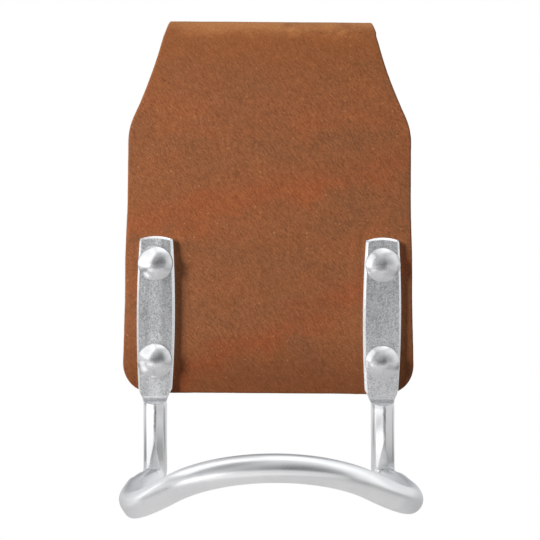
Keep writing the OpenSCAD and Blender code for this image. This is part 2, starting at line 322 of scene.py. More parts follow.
def steel_rod():
    """Satin plated rod; the flattened pads carry the grain of the press tool, the rod is smooth."""
    N = Nodes("plated_steel_rod")
    co = N.coord()
    x, y, z = N.split(co)
    pad = N.math("MULTIPLY", N.ramp(z, -0.0775, -0.0760), N.ramp(y, (Y_FRONT - 3.9) * MM, (Y_FRONT - 3.5) * MM))
    n_big = N.noise(N.scaled(co, (130, 130, 90)), 1.0, 3, 0.5, 0.5)
    n_mid = N.noise(N.scaled(co, (900, 900, 900)), 1.0, 4, 0.6, 0.3)
    n_fine = N.noise(N.scaled(co, (2600, 2600, 2600), loc=(3, 3, 3)), 1.0, 3, 0.65)
    scr = N.noise(streaked(N, co, math.radians(38), 260, 3600, 4.0), 1.0, 2, 0.6)
    pits = N.add("ShaderNodeTexVoronoi", {"feature": "F1"}, None, Vector=N.scaled(co, (1, 1, 1), loc=(1, 5, 2)), Scale=900.0)
    rp = N.split(pits.outputs["Color"])
    pit = N.math("MULTIPLY", N.ramp(pits.outputs["Distance"], 0.42, 0.10), N.ramp(rp[0], 0.62, 0.70))
    # squirming die marks across the top of each pad
    zt = N.ramp(z, -0.0360, -0.0345)
    die = N.noise(N.scaled(co, (900, 900, 900), loc=(8, 2, 5)), 1.0, 2, 0.5, 1.6)
    die = N.math("MULTIPLY", N.ramp(N.math("ABSOLUTE", N.math("SUBTRACT", die, 0.5)), 0.035, 0.005), zt)
    grain = N.math("ADD", N.math("MULTIPLY", n_fine, 0.55), N.math("MULTIPLY", n_mid, 0.75))
    grain = N.math("SUBTRACT", grain, N.math("MULTIPLY", pit, 0.25))
    grain = N.math("SUBTRACT", grain, N.math("MULTIPLY", die, 0.6))
    h_pad = N.math("MULTIPLY", N.math("MULTIPLY", grain, pad), N.ramp(y, (Y_FRONT - 3.08) * MM, (Y_FRONT - 3.19) * MM, 0.25, 1.0))
    h_rod = N.math("MULTIPLY", N.math("MULTIPLY", n_mid, 0.02), N.math("SUBTRACT", 1.0, pad))
    nrm = N.bump(N.math("ADD", h_pad, h_rod), 0.75, 0.00016)
    tone = N.ramp(N.math("ADD", N.math("MULTIPLY", n_mid, 0.5), N.math("MULTIPLY", n_big, 0.5)), 0.35, 0.65, 0.86, 1.0, False)
    col_pad = N.mix(1.0, (0.94, 0.945, 0.955), N.add("ShaderNodeCombineColor", {}, 0, i0=tone, i1=tone, i2=tone), "MULTIPLY")
    g = N.noise(N.scaled(co, (2100, 2100, 2100), loc=(2, 7, 1)), 1.0, 4, 0.72, 0.4)
    g2 = N.noise(N.scaled(co, (620, 620, 420), loc=(6, 1, 3)), 1.0, 3, 0.6, 0.5)
    gr = N.math("ADD", N.ramp(g, 0.36, 0.64, 0.60, 1.16, False), N.ramp(g2, 0.35, 0.65, -0.08, 0.08, False))
    # painted reflection: the left pad is darkened to either side of a lighter stripe down its middle
    off = N.math("ABSOLUTE", N.math("ADD", x, LEG_X * MM))
    gr = N.math("MULTIPLY", gr, N.math("SUBTRACT", 1.0, N.math("MULTIPLY", N.ramp(off, 0.0009, 0.0023), N.ramp(x, 0.0, -0.001, 0.0, 0.20))))
    col_pad = N.mix(1.0, col_pad, N.add("ShaderNodeCombineColor", {}, 0, i0=gr, i1=gr, i2=gr), "MULTIPLY")
    # painted light: the pads are brightened towards their lower ends
    low = N.ramp(z, -0.052, -0.072, 1.0, 1.20)
    col_pad = N.mix(1.0, col_pad, N.add("ShaderNodeCombineColor", {}, 0, i0=low, i1=low, i2=low), "MULTIPLY")
    col_pad = N.mix(N.math("MULTIPLY", pit, 0.35), col_pad, (0.42, 0.42, 0.43))
    col_pad = N.mix(N.math("MULTIPLY", die, 0.5), col_pad, (0.36, 0.36, 0.37))
    # painted highlight: the pad's bevel is whitened
    bev = N.ramp(y, (Y_FRONT - 3.19) * MM, (Y_FRONT - 3.08) * MM)
    col_pad = N.mix(N.math("MULTIPLY", bev, 0.9), col_pad, (0.97, 0.97, 0.975))
    col_rod = N.mix(N.ramp(n_big, 0.35, 0.65), (0.84, 0.845, 0.855), (0.89, 0.895, 0.90))
    # painted shade: the rod is darkened round the loop's two lower corners, which are also made rougher below
    corner = N.math("MULTIPLY", N.ramp(N.math("ABSOLUTE", x), 0.029, 0.037), N.ramp(z, -0.093, -0.096))
    col_rod = N.mix(N.math("MULTIPLY", corner, 0.75), col_rod, (0.64, 0.65, 0.665))
    # painted reflection: a ragged dark line down each leg where its two flats meet
    seam_x = N.math("SUBTRACT", N.math("ABSOLUTE", N.math("SUBTRACT", x, 0.00036)), LEG_X * MM)
    jag = N.noise(N.scaled(co, (10, 10, 1500), loc=(5, 5, 5)), 1.0, 4, 0.75)
    ridge_dark_reflection = N.ramp(N.math("ABSOLUTE", N.math("ADD", seam_x, N.math("MULTIPLY", N.math("SUBTRACT", jag, 0.5), 0.0006))), 0.00052, 0.00022)
    ridge_dark_reflection = N.math("MULTIPLY", ridge_dark_reflection, N.math("MULTIPLY", N.ramp(z, -0.0776, -0.0786), N.ramp(z, -0.0925, -0.0815)))
    ridge_dark_reflection = N.math("MULTIPLY", ridge_dark_reflection, N.math("MULTIPLY", N.ramp(y, -0.0195, -0.0200), N.ramp(y, -0.0235, -0.0222)))
    col_rod = N.mix(N.math("MULTIPLY", ridge_dark_reflection, N.ramp(g, 0.35, 0.6, 0.95, 0.55)), col_rod, (0.17, 0.17, 0.175))
    col = N.mix(pad, col_rod, col_pad)
    r_pad = N.math("SUBTRACT", N.ramp(n_mid, 0.3, 0.7, 0.36, 0.52, False), N.math("MULTIPLY", bev, 0.18))
    leg = N.math("MULTIPLY", N.ramp(z, -0.0770, -0.0785), N.ramp(z, -0.0950, -0.0930))
    leg = N.math("MULTIPLY", leg, N.ramp(y, -0.0235, -0.0222))
    r_rod = N.math("ADD", N.ramp(n_big, 0.3, 0.7, 0.26, 0.32, False), N.math("MULTIPLY", scr, 0.02))
    r_rod = N.math("ADD", r_rod, N.math("MULTIPLY", corner, 0.17))
    r_rod = N.math("SUBTRACT", r_rod, N.math("MULTIPLY", leg, 0.14))
    rough = N.math("ADD", N.math("MULTIPLY", r_pad, pad), N.math("MULTIPLY", r_rod, N.math("SUBTRACT", 1.0, pad)))
    N.bsdf(Base_Color=col, Metallic=1.0, Roughness=rough, Normal=nrm)
    return N.mat


def steel_plain(name, colour, rough, bump, seed):
    N = Nodes(name)
    co = N.coord()
    n1 = N.noise(N.scaled(co, (420, 420, 420), loc=(seed, 0, 0)), 1.0, 4, 0.55, 0.3)
    n2 = N.noise(N.scaled(co, (3400, 3400, 3400), loc=(0, seed, 0)), 1.0, 3, 0.6)
    sc = N.noise(streaked(N, co, math.radians(-30 + seed), 300, 5200, seed), 1.0, 2, 0.6)
    col = N.mix(N.ramp(n1, 0.35, 0.65), colour, tuple(min(1, c * 1.06) for c in colour))
    col = N.mix(N.math("MULTIPLY", N.ramp(n2, 0.62, 0.80), 0.3), col, tuple(c * 0.7 for c in colour))
    r = N.math("ADD", N.ramp(n1, 0.3, 0.7, rough - 0.04, rough + 0.05, False), N.math("MULTIPLY", N.ramp(sc, 0.60, 0.78), 0.06))
    nrm = N.bump(N.math("ADD", N.math("MULTIPLY", n1, 0.5), N.math("MULTIPLY", n2, 0.5)), bump, 0.00006)
    N.bsdf(Base_Color=col, Metallic=1.0, Roughness=r, Normal=nrm)
    return N.mat


M_GRAIN, M_EDGE, M_FLESH = leather_grain(), leather_edge(), leather_flesh()
M_ROD = steel_rod()
M_CAP = steel_plain("rivet_cap_steel", (0.75, 0.75, 0.76), 0.24, 0.12, 3.0)
M_BURR = steel_plain("washer_steel", (0.70, 0.70, 0.71), 0.32, 0.45, 7.0)


# ---------------------------------------------------------------- leather: one folded sheet
A_JOG = 2 * math.atan(STEP_IN / JOG)
R_JOG = JOG / (2 * math.sin(A_JOG))
Y_FLAP = -STEP_IN
# centreline pieces: their lengths, summed into the distance where each one starts
C_FOLD = (Y_FRONT / 2, Z_FOLD)
R_FOLD = GAP / 2 + T / 2
L1 = Z_FOLD - Z_FOOT
L2 = math.pi * R_FOLD
L3 = 2 * Z_FOLD
L4 = A_JOG * R_JOG
L5 = L4
L6 = (-Z_FOLD - JOG) - Z_FOOT
CUTS = np.cumsum([0, L1, L2, L3, L4, L5, L6])
S_ALL = float(CUTS[-1])


def centreline(s):
    """y, z, and the outward (grain side) normal of the sheet's middle at distance s from the front foot."""
    s = np.asarray(s, float)
    y, z, ny, nz = (np.zeros_like(s) for _ in range(4))
    m = s <= CUTS[1]
    y[m], z[m], ny[m], nz[m] = Y_FRONT + T / 2, Z_FOOT + s[m], -1, 0
    m = (s > CUTS[1]) & (s <= CUTS[2])
    a = math.pi - (s[m] - CUTS[1]) / R_FOLD
    y[m], z[m] = C_FOLD[0] + R_FOLD * np.cos(a), C_FOLD[1] + R_FOLD * np.sin(a)
    ny[m], nz[m] = np.cos(a), np.sin(a)
    m = (s > CUTS[2]) & (s <= CUTS[3])
    y[m], z[m], ny[m], nz[m] = -T / 2, Z_FOLD - (s[m] - CUTS[2]), 1, 0
    m = (s > CUTS[3]) & (s <= CUTS[4])
    a = -(s[m] - CUTS[3]) / R_JOG
    y[m], z[m] = -T / 2 - R_JOG + R_JOG * np.cos(a), -Z_FOLD + R_JOG * np.sin(a)
    ny[m], nz[m] = np.cos(a), np.sin(a)
    m = (s > CUTS[4]) & (s <= CUTS[5])
    a = math.pi - A_JOG + (s[m] - CUTS[4]) / R_JOG
    y[m], z[m] = Y_FLAP - T / 2 + R_JOG + R_JOG * np.cos(a), -Z_FOLD - JOG + R_JOG * np.sin(a)
    ny[m], nz[m] = -np.cos(a), -np.sin(a)
    m = s > CUTS[5]
    y[m], z[m], ny[m], nz[m] = Y_FLAP - T / 2, -Z_FOLD - JOG - (s[m] - CUTS[5]), 1, 0
    return y, z, ny, nz


SH_R, NK_R, NK_A = 18.8, 133.0, math.radians(24.7)
Z_SH = Z_TOP - 35.0
FOOT_R = 8.0
PX = BODY_HALF - SH_R + SH_R * math.cos(NK_A)
PZ = Z_SH + SH_R * math.sin(NK_A)
CX, CZ = PX + NK_R * math.cos(NK_A), PZ + NK_R * math.sin(NK_A)


def half_width(z):
    z = np.asarray(z, float)
    w = np.full_like(z, BODY_HALF)
    m = z > PZ
    w[m] = CX - np.sqrt(NK_R ** 2 - (CZ - z[m]) ** 2)
    m = (z <= PZ) & (z > Z_SH)
    w[m] = BODY_HALF - SH_R + np.sqrt(SH_R ** 2 - (z[m] - Z_SH) ** 2)
    zf = Z_FOOT + FOOT_R
    m = (z <= Z_SH - 18) & (z > zf)
    w[m] = BODY_HALF + (FOOT_HALF - BODY_HALF) * (Z_SH - 18 - z[m]) / (Z_SH - 18 - zf)
    w[z <= zf] = FOOT_HALF
    return w


BEV = 0.55
CUT_LEFT = ((-75, 0.1), (-66, 0.28), (-60, 0.2), (-49, 0.25), (-38, 0.5), (-22, 0.3), (-10, 0.2), (-3, 0.15), (6, 0.0), (15, 0.1), (24, 0.05))
CUT_RIGHT = ((-75, 0.1), (-62, 0.1), (-50, 0.0), (-38, 0.2), (-20, 0.0), (-3, 0.0), (8, -0.15), (15, -0.25), (24, -0.25))


def build_leather():
    cols, rows = 126, 300
    r, f = FOOT_R, FOOT_HALF
    # right side boundary from the front corner's middle, over the fold, to the back corner's middle
    s_mid = np.linspace(r, S_ALL - r, rows - 15)
    y, z, ny, nz = centreline(s_mid)
    w = half_width(z + nz * T / 2)
    a = np.radians(np.linspace(45, 0, 9))[:-1]
    front = np.c_[f - r + r * np.cos(a), r - r * np.sin(a)]
    back = np.c_[f - r + r * np.cos(a[::-1]), S_ALL - r + r * np.sin(a[::-1])]
    right = np.vstack([front, np.c_[w, s_mid], back])
    nv = len(right)
    left = right * [-1, 1]
    # foot boundaries, left to right
    k = 10
    ac = np.radians(np.linspace(135, 90, k))[:-1]
    lead = np.c_[-(f - r) + r * np.cos(ac), r - r * np.sin(ac)]
    mid = np.c_[np.linspace(-(f - r), f - r, cols - 2 * (k - 1)), np.zeros(cols - 2 * (k - 1))]
    bottom = np.vstack([lead, mid, (lead * [-1, 1])[::-1]])
    nu = len(bottom)
    top = bottom * [1, -1] + [0, S_ALL]
    # closed boundary: bottom left->right, right up, top right->left, left down
    loop = np.vstack([bottom, right[1:-1], top[::-1], left[1:-1][::-1]])
    d = np.roll(loop, -1, 0) - np.roll(loop, 1, 0)
    d /= np.linalg.norm(d, axis=1)[:, None]
    nrm = np.c_[d[:, 1], -d[:, 0]]                      # outward in the flat sheet
    # a hand-cut outline wanders by a tenth of a millimetre
    wob = np.array([0.10 * fbm((p[0], p[1], 0), 0.16, 3, 2.0) + 0.05 * fbm((p[0], p[1], 3), 0.8, 2, 5.0) for p in loop])
    zf = Z_FOOT + loop[:, 1]
    cut = np.where(loop[:, 0] < 0, np.interp(zf, *zip(*CUT_LEFT)), np.interp(zf, *zip(*CUT_RIGHT)))
    cut = cut * smooth(18, 30, np.abs(loop[:, 0])) * (loop[:, 1] < CUTS[1] + 2)
    loop = loop + nrm * (0.6 * wob - 0.03 + cut)[:, None]

    def patch(b):
        """Grid of flat points inside a closed boundary b in the loop's order."""
        B, R = b[:nu], np.vstack([b[nu - 1:nu], b[nu:nu + nv - 2], b[nu + nv - 2:nu + nv - 1]])
        Tp = b[nu + nv - 2:2 * nu + nv - 2][::-1]
        L = np.vstack([b[:1], b[2 * nu + nv - 2:][::-1], Tp[:1]])
        u = np.linspace(0, 1, nu)[None, :, None]
        v = np.linspace(0, 1, nv)[:, None, None]
        return ((1 - v) * B[None] + v * Tp[None] + (1 - u) * L[:, None] + u * R[:, None]
                - ((1 - u) * (1 - v) * B[0] + u * (1 - v) * B[-1] + (1 - u) * v * Tp[0] + u * v * Tp[-1]))

    # order of the boundary vertices inside a grid
    idx = np.arange(nu * nv).reshape(nv, nu)
    ring = np.concatenate([idx[0], idx[1:-1, -1], idx[-1][::-1], idx[1:-1, 0][::-1]])

    flat, depth, kind = [], [], []
    outer = patch(loop - nrm * BEV).reshape(-1, 2)
    flat.append(outer)
    depth.append(np.zeros(len(outer)))
    faces, fmat = [], []

    def grid_faces(base, flip, mat):
        for j in range(nv - 1):
            for i in range(nu - 1):
                q = (base + idx[j, i], base + idx[j, i + 1], base + idx[j + 1, i + 1], base + idx[j + 1, i])
                faces.append(q[::-1] if flip else q)
                fmat.append(mat)

    grid_faces(0, False, 0)
    prev = ring.copy()
    count = len(outer)
    rings = []
    for a in np.radians([18, 36, 54, 72, 90]):
        rings.append((BEV * (1 - math.sin(a)), 0.5 * (1 - math.cos(a)), 0 if a < math.radians(40) else 1))
    for dd in (1.2, 1.8, 2.4, 3.0, 3.45):
        rings.append((-0.12 * math.sin(math.pi * (dd - 0.65) / 3.0), dd, 1))
    for a in np.radians([30, 60, 85]):
        rings.append((0.45 * (1 - math.cos(a)), T - 0.45 * (1 - math.sin(a)), 1))
    n = len(loop)
    for e, dd, mat in rings:
        flat.append(loop - nrm * e)
        depth.append(np.full(n, dd))
        cur = np.arange(count, count + n)
        for k2 in range(n):
            k3 = (k2 + 1) % n
            faces.append((prev[k2], cur[k2], cur[k3], prev[k3]))
            fmat.append(mat)
        prev, count = cur, count + n
    inner = patch(loop - nrm * 0.45).reshape(-1, 2)
    flat.append(inner)
    depth.append(np.full(len(inner), T))
    cur = count + ring
    for k2 in range(n):
        k3 = (k2 + 1) % n
        faces.append((prev[k2], cur[k2], cur[k3], prev[k3]))
        fmat.append(1)
    grid_faces(count, True, 2)

    flat, depth = np.vstack(flat), np.concatenate(depth)
    x, s = flat[:, 0], flat[:, 1]
    y, z, ny, nz = centreline(np.clip(s, 0, S_ALL))
    over = np.where(s < 0, s, np.where(s > S_ALL, S_ALL - s, 0.0))   # past an end: straight on down
    z = z + over
    # relief of the grain side, as a change of depth (positive sinks in)
    rel = np.zeros(len(x))
    near_out = 1 - smooth(0.3, 3.2, depth)
    near_in = smooth(1.0, 3.8, depth)
    soft = np.array([fbm((a_, b_, 0.0), 0.045, 2, 3.0) for a_, b_ in zip(x, s)])
    fine = np.array([fbm((a_, b_, 7.0), 0.33, 3, 8.0) for a_, b_ in zip(x, s)])
    rel += near_out * (-0.10 * soft - 0.035 * fine)
    front = s < CUTS[1]
    rear = s > CUTS[3]
    zz = np.where(front, Z_FOOT + s, z)
    for sx in (-1, 1):
        # the pads squeeze the front ply, which swells a little beside them
        cx, hw = sx * LEG_X, 5.2
        dx = np.abs(x - cx) - hw
        dz = np.maximum(zz - (Z_TOP - 61.0), (Z_TOP - 105.0) - zz)
        dist = np.where((dx < 0) & (dz < 0), np.maximum(dx, dz), np.hypot(np.maximum(dx, 0), np.maximum(dz, 0)))
        press = np.where(dist < 0, 0.14, 0.14 * np.exp(-(dist / 0.7) ** 2))
        swell = -0.16 * np.exp(-((dist - 2.0) / 1.2) ** 2) * (dist > 0)
        rel += near_out * front * (press + swell)
    under = np.zeros(len(x), bool)
    for c in RIVETS.values():
        d = np.hypot(x - c[0], z - c[2])
        press = np.where(d < 4.65, 0.0, 0.0)
        swell = -0.22 * np.exp(-((d - 6.3) / 1.1) ** 2) * (d > 4.65)
        rel += near_out * rear * (press + swell)
        under |= rear & (d < 4.9)
    rel = np.where(under & (depth < 0.5), np.maximum(rel, 0.02), rel)
    for sx in (-1, 1):
        dx = np.abs(x - sx * LEG_X)
        inside = front & (dx < 5.4) & (zz < Z_TOP - 60.6) & (depth < 0.5)
        rel = np.where(inside, np.maximum(rel, 0.02), rel)
    # flesh side: uneven, never through the other ply
    rel += near_in * (-0.10 - 0.08 * fine) * np.where((s < CUTS[1] - 70) | (s > CUTS[4]), 0.3, 1.0)
    off = T / 2 - depth - rel
    P = np.c_[x, y + ny * off, z + nz * off]
    ob = make_object("leather_body_piece", P, faces, [M_GRAIN, M_EDGE, M_FLESH], fmat)
    return ob


leather = build_leather()


# ---------------------------------------------------------------- steel loop: one rod
ROD_R = 3.25
PAD_T, PAD_HM, PAD_HE, PAD_L, CROWN, CH = 3.2, 5.2, 4.5, 42.6, 0.8, 0.62
Z_PAD = Z_TOP - 62.4
Z_BEND = Z_TOP - 124.1
BEND_R, RUN_L, SIDE_R = 3.4, 3.27, 41.6
SPLAY, DIP, RISE, TURN = (math.radians(v) for v in (18.3, 12.1, 34.3, 40.4))


def unit(v):
    return v / np.linalg.norm(v)


t_down = np.array([0, 0, -1.0])
t_out = np.array([math.sin(SPLAY), -math.cos(SPLAY) * math.cos(DIP), -math.cos(SPLAY) * math.sin(DIP)])
t_side = np.array([-math.sin(TURN), -math.cos(TURN) * math.cos(RISE), math.cos(TURN) * math.sin(RISE)])
t_front = np.array([-1.0, 0, 0])


def arc_points(p, t, u, r, n):
    a = math.acos(np.clip(t @ u, -1, 1))
    k = unit(u - (u @ t) * t)
    out = []
    for q in np.linspace(0, a, n + 1)[1:]:
        out.append((p + r * (1 - math.cos(q)) * k + r * math.sin(q) * t, math.cos(q) * t + math.sin(q) * k))
    return out, a * r


N_F, N_C, N_S, N_K, N_B = 76, 4, 8, 2, 46


def pad_section(h, top_f, ch, back_r=0.35):
    """Closed outline of the pad in (across, forward), front face first from -across to +across."""
    def line(p, q, n):
        f = np.arange(n)[:, None] / n
        return np.array(p) + (np.array(q) - np.array(p)) * f
    c = min(ch, top_f * 0.45)
    return np.vstack([
        line((-h + c, top_f), (h - c, top_f), N_F),
        line((h - c, top_f), (h, top_f - c), N_C),
        line((h, top_f - c), (h, back_r), N_S),
        line((h, back_r), (h - back_r, 0), N_K),
        line((h - back_r, 0), (-h + back_r, 0), N_B),
        line((-h + back_r, 0), (-h, back_r), N_K),
        line((-h, back_r), (-h, top_f - c), N_S),
        line((-h, top_f - c), (-h + c, top_f), N_C)])


def rod_section():
    ang = np.concatenate([
        np.linspace(-62, 62, N_F, endpoint=False), np.linspace(62, 74, N_C, endpoint=False),
        np.linspace(74, 112, N_S, endpoint=False), np.linspace(112, 120, N_K, endpoint=False),
        np.linspace(120, 240, N_B, endpoint=False), np.linspace(240, 248, N_K, endpoint=False),
        np.linspace(248, 286, N_S, endpoint=False), np.linspace(286, 298, N_C, endpoint=False)])
    a = np.radians(ang)
    return np.c_[np.sin(a), np.cos(a)] * ROD_R, a


ROD, ROD_A = rod_section()
NSEC = len(ROD)


def pad_half(z):
    s = np.clip(2 * (Z_PAD - z) / PAD_L - 1, -1, 1)
    return PAD_HE + (PAD_HM - PAD_HE) * (1 - s * s)


def leg_shape(uv, z, sign):
    """Two long flats left by the forging die on the front of each leg, with a ragged ridge between."""
    fade = float(smooth(-77.2, -77.9, z) if z > -80 else smooth(-95.5, -93.6, z))
    if fade <= 0:
        return uv
    phi = np.degrees(np.where(ROD_A > math.pi, ROD_A - 2 * math.pi, ROD_A)) * sign
    calm = float(smooth(-92.0, -84.0, z)) * 0.8 + 0.2
    a0, a1 = -41.5, 2.0 + calm * 1.2 * fbm((0.0, sign * 9.0, z), 0.12, 2, 4.0)
    b0, b1 = 10.5 + calm * 1.0 * fbm((7.0, sign * 5.0, z), 0.10, 2, 1.0), 48.0
    f1 = math.cos(math.radians(15.5)) / np.cos(np.radians(np.clip(phi, a0, a1) + 26))
    mid, half = (b0 + b1) / 2, (b1 - b0) / 2
    f2 = math.cos(math.radians(half)) / np.cos(np.radians(np.clip(phi, b0, b1) - mid))
    q = np.clip((phi - a1) / (b0 - a1), 0, 1)
    r = np.where((phi > a0) & (phi < b1), np.where(phi < a1, f1, np.where(phi < b0, f1 + (f2 - f1) * q, f2)), 1.0)
    return uv * (1 + (r - 1) * fade)[:, None]


def build_loop_side(sign):
    """Vertices of one side, station by station, from the pad's top to the middle of the front bar."""
    st = []
    # pad, drawn down from its crowned top
    z_list = list(Z_PAD - np.array([0, 0.15, 0.35, CH, 1.0, 1.5, 2.1])) + list(np.linspace(Z_PAD - 2.8, -74.2, 74))
    for z in z_list:
        d = Z_PAD - z
        h = float(pad_half(z)) - max(0.0, CH - d) * 0.15
        sec = pad_section(h, PAD_T - max(0.0, CH - d), CH if d > 0 else 0.2)
        crown = CROWN * (1 - np.clip(sec[:, 0] / PAD_HE, -1, 1) ** 2) * max(0.0, 1 - d / 5.0)
        # the section set at the leg, its top raised by the crown
        st.append(np.c_[sec[:, 0] + LEG_X, Y_FRONT - sec[:, 1], np.full(NSEC, z) + crown])
    # shoulder: the flat draws in to the round rod; a bevel and a steep face part the two
    z_a, z_b, z_c, z_d = -76.05, -76.60, -76.72, -78.05
    for z in np.r_[np.linspace(-74.4, -75.9, 12), np.linspace(-76.0, -78.3, 48), -78.6, -79.0]:
        m = float(smooth(-74.2, -77.3, z)) if False else float(np.clip((-74.2 - z) / 3.1, 0, 1))
        sec = pad_section(float(pad_half(-74.4)), PAD_T, CH * (1 - 0.4 * m))
        rod = leg_shape(ROD + 0.0, z, sign) + [0, ROD_R]
        p = sec * (1 - m) + rod * m
        if z > z_a:
            lim = PAD_T
        elif z > z_b:
            lim = PAD_T - 0.55 * (z_a - z) / (z_a - z_b)
        elif z > z_c:
            lim = PAD_T - 0.55
        else:
            lim = PAD_T - 0.55 + (2 * ROD_R - PAD_T + 0.6) * ((z_c - z) / (z_c - z_d)) ** 1.15
        p[:, 1] = np.minimum(p[:, 1], lim)
        st.append(np.c_[p[:, 0] + LEG_X, Y_FRONT - p[:, 1], np.full(NSEC, z)])
    # leg, bend, run, side curve and front curve: round sections on a carried frame
    path = []
    p0 = np.array([LEG_X, Y_FRONT - ROD_R, -79.0])
    p_b = np.array([LEG_X, Y_FRONT - ROD_R, Z_BEND])
    for z in list(np.linspace(-79.3, Z_BEND, 110)):
        path.append((np.array([LEG_X, Y_FRONT - ROD_R, z]), t_down))
    arc, l_b = arc_points(p_b, t_down, t_out, BEND_R, 60)
    path += arc
    p_r = arc[-1][0]
    for q in np.linspace(0, RUN_L, 12)[1:]:
        path.append((p_r + q * t_out, t_out))
    p_s = p_r + RUN_L * t_out
    ang = math.acos(np.clip(t_out @ t_side, -1, 1))
    arc, _ = arc_points(p_s, t_out, t_side, SIDE_R, 110)
    path += arc
    p_f = arc[-1][0]
    arc, _ = arc_points(p_f, t_side, t_front, p_f[0] / math.cos(TURN), 34)
    path += arc
    # distance along the path, measured from the start of the bend
    pos = np.array([q[0] for q in path])
    dist = np.r_[0, np.cumsum(np.linalg.norm(np.diff(pos, axis=0), axis=1))]
    i_b = int(np.argmin(np.linalg.norm(pos - p_b, axis=1)))
    dist -= dist[i_b]
    a_ax, b_ax, t_prev = np.array([1.0, 0, 0]), np.array([0, -1.0, 0]), t_down
    inner0 = unit(t_out - (t_out @ t_down) * t_down)
    inner = inner0.copy()
    for (p, t), d in zip(path, dist):
        ax = np.cross(t_prev, t)
        sn = np.linalg.norm(ax)
        if sn > 1e-9:
            ax = ax / sn
            c = t_prev @ t

            def rot(v):
                return v * c + np.cross(ax, v) * sn + ax * (ax @ v) * (1 - c)
            a_ax, b_ax, inner = rot(a_ax), rot(b_ax), rot(inner)
        t_prev = t
        uv = leg_shape(ROD + 0.0, p[2], sign) if t is t_down or abs(t @ t_down) > 0.999 else ROD
        ring = uv[:, :1] * a_ax + uv[:, 1:] * b_ax
        # die facets in the crook of the bend: one on the leg, a ledge, the crease, one on the run
        f = facet_depth(d, l_b)
        if f is not None:
            q = float(np.clip((d - 1.0) / 1.7, 0, 1))
            face = unit(b_ax * (1 - q) + inner * q)
            cut = np.maximum(ring @ face - (ROD_R - f), 0)
            if d > 2.2:
                # the die stopped short: a small step parts its facet from the round front
                side = ring @ np.cross(t, face)
                cut = cut * (1 - smooth(-0.10, 0.06, side) * float(smooth(2.2, 2.9, d)))
            ring = ring - cut[:, None] * face
        # the crook sits a little lower than a plain arc would, and the run leaves it flatter
        sag = -1.15 * float(smooth(-4.0, 1.0, d) * (1 - smooth(2.5, 13.0, d)))
        st.append(p + ring + [0, 0, sag])
    V = np.array(st)
    if sign < 0:
        V = V * [-1, 1, 1]
    return V


def facet_depth(d, l_b):
    """How deep the die has pressed, by distance d from the start of the bend (mm)."""
    crease, end = 2.6, l_b + 7.0
    if d < -7.0 or d > end:
        return None
    if d < 0.9:
        return -0.28 + 0.92 * ((d + 7.0) / 7.9) ** 1.15
    if d < 1.7:
        return 0.64 - 0.54 * (d - 0.9) / 0.8
    if d < crease:
        return 0.10 + 0.85 * ((d - 1.7) / (crease - 1.7)) ** 0.7
    return 0.95 * (1 - (d - crease) / (end - crease)) ** 0.8


def settle(V):
    """The hand-bent hoop hangs a degree out of true: its left corner is lower than its right one."""
    x, F, z = V[..., 0], Y_FRONT - V[..., 1], V[..., 2]
    w = 0.35 * smooth(-77.0, -93.0, z) + 0.65 * smooth(7.5, 24.0, F)
    ang = 0.0235 * w
    x0 = x + 0.20 * smooth(-76.0, -79.0, z)
    zc = z + 80.0
    out = V.copy()
    out[..., 0] = x0 * np.cos(ang) - zc * np.sin(ang)
    out[..., 2] = x0 * np.sin(ang) + zc * np.cos(ang) - 80.0
    # the outer end of the left turn rides up a little, and both turns end a hair short
    out[..., 2] += 1.15 * np.exp(-((x + 38.6) / 2.6) ** 2) * smooth(-32.5, -35.0, x) * smooth(12.0, 16.0, F)
    out[..., 0] += (0.32 * smooth(-34.5, -37.5, x) - 0.24 * smooth(34.5, 37.5, x)) * smooth(12.0, 16.0, F)
    return out


def build_loop():
    R = build_loop_side(1)
    L = build_loop_side(-1)[:-1][::-1]
    V = settle(np.vstack([R, L]))
    n_st = len(V)
    verts = V.reshape(-1, 3)
    out = verts.copy()
    faces = []
    for j in range(n_st - 1):
        for i in range(NSEC):
            k = (i + 1) % NSEC
            a, b = j * NSEC + i, j * NSEC + k
            c, d = (j + 1) * NSEC + k, (j + 1) * NSEC + i
            faces.append((a, b, c, d))
    # end caps: a fan about the middle of each pad's top
    for j, flip in ((0, True), (n_st - 1, False)):
        base = j * NSEC
        mid = out[base:base + NSEC].mean(0)
        out = np.vstack([out, mid])
        c = len(out) - 1
        for i in range(NSEC):
            k = (i + 1) % NSEC
            faces.append((base + k, base + i, c) if flip else (base + i, base + k, c))
    ob = make_object("steel_loop_piece", out, faces, [M_ROD], None, 28)
    bm_fix(ob)
    return ob


def bm_fix(ob):
    import bmesh
    bm = bmesh.new()
    bm.from_mesh(ob.data)
    bmesh.ops.recalc_face_normals(bm, faces=bm.faces)
    bm.to_mesh(ob.data)
    bm.free()


loop = build_loop()


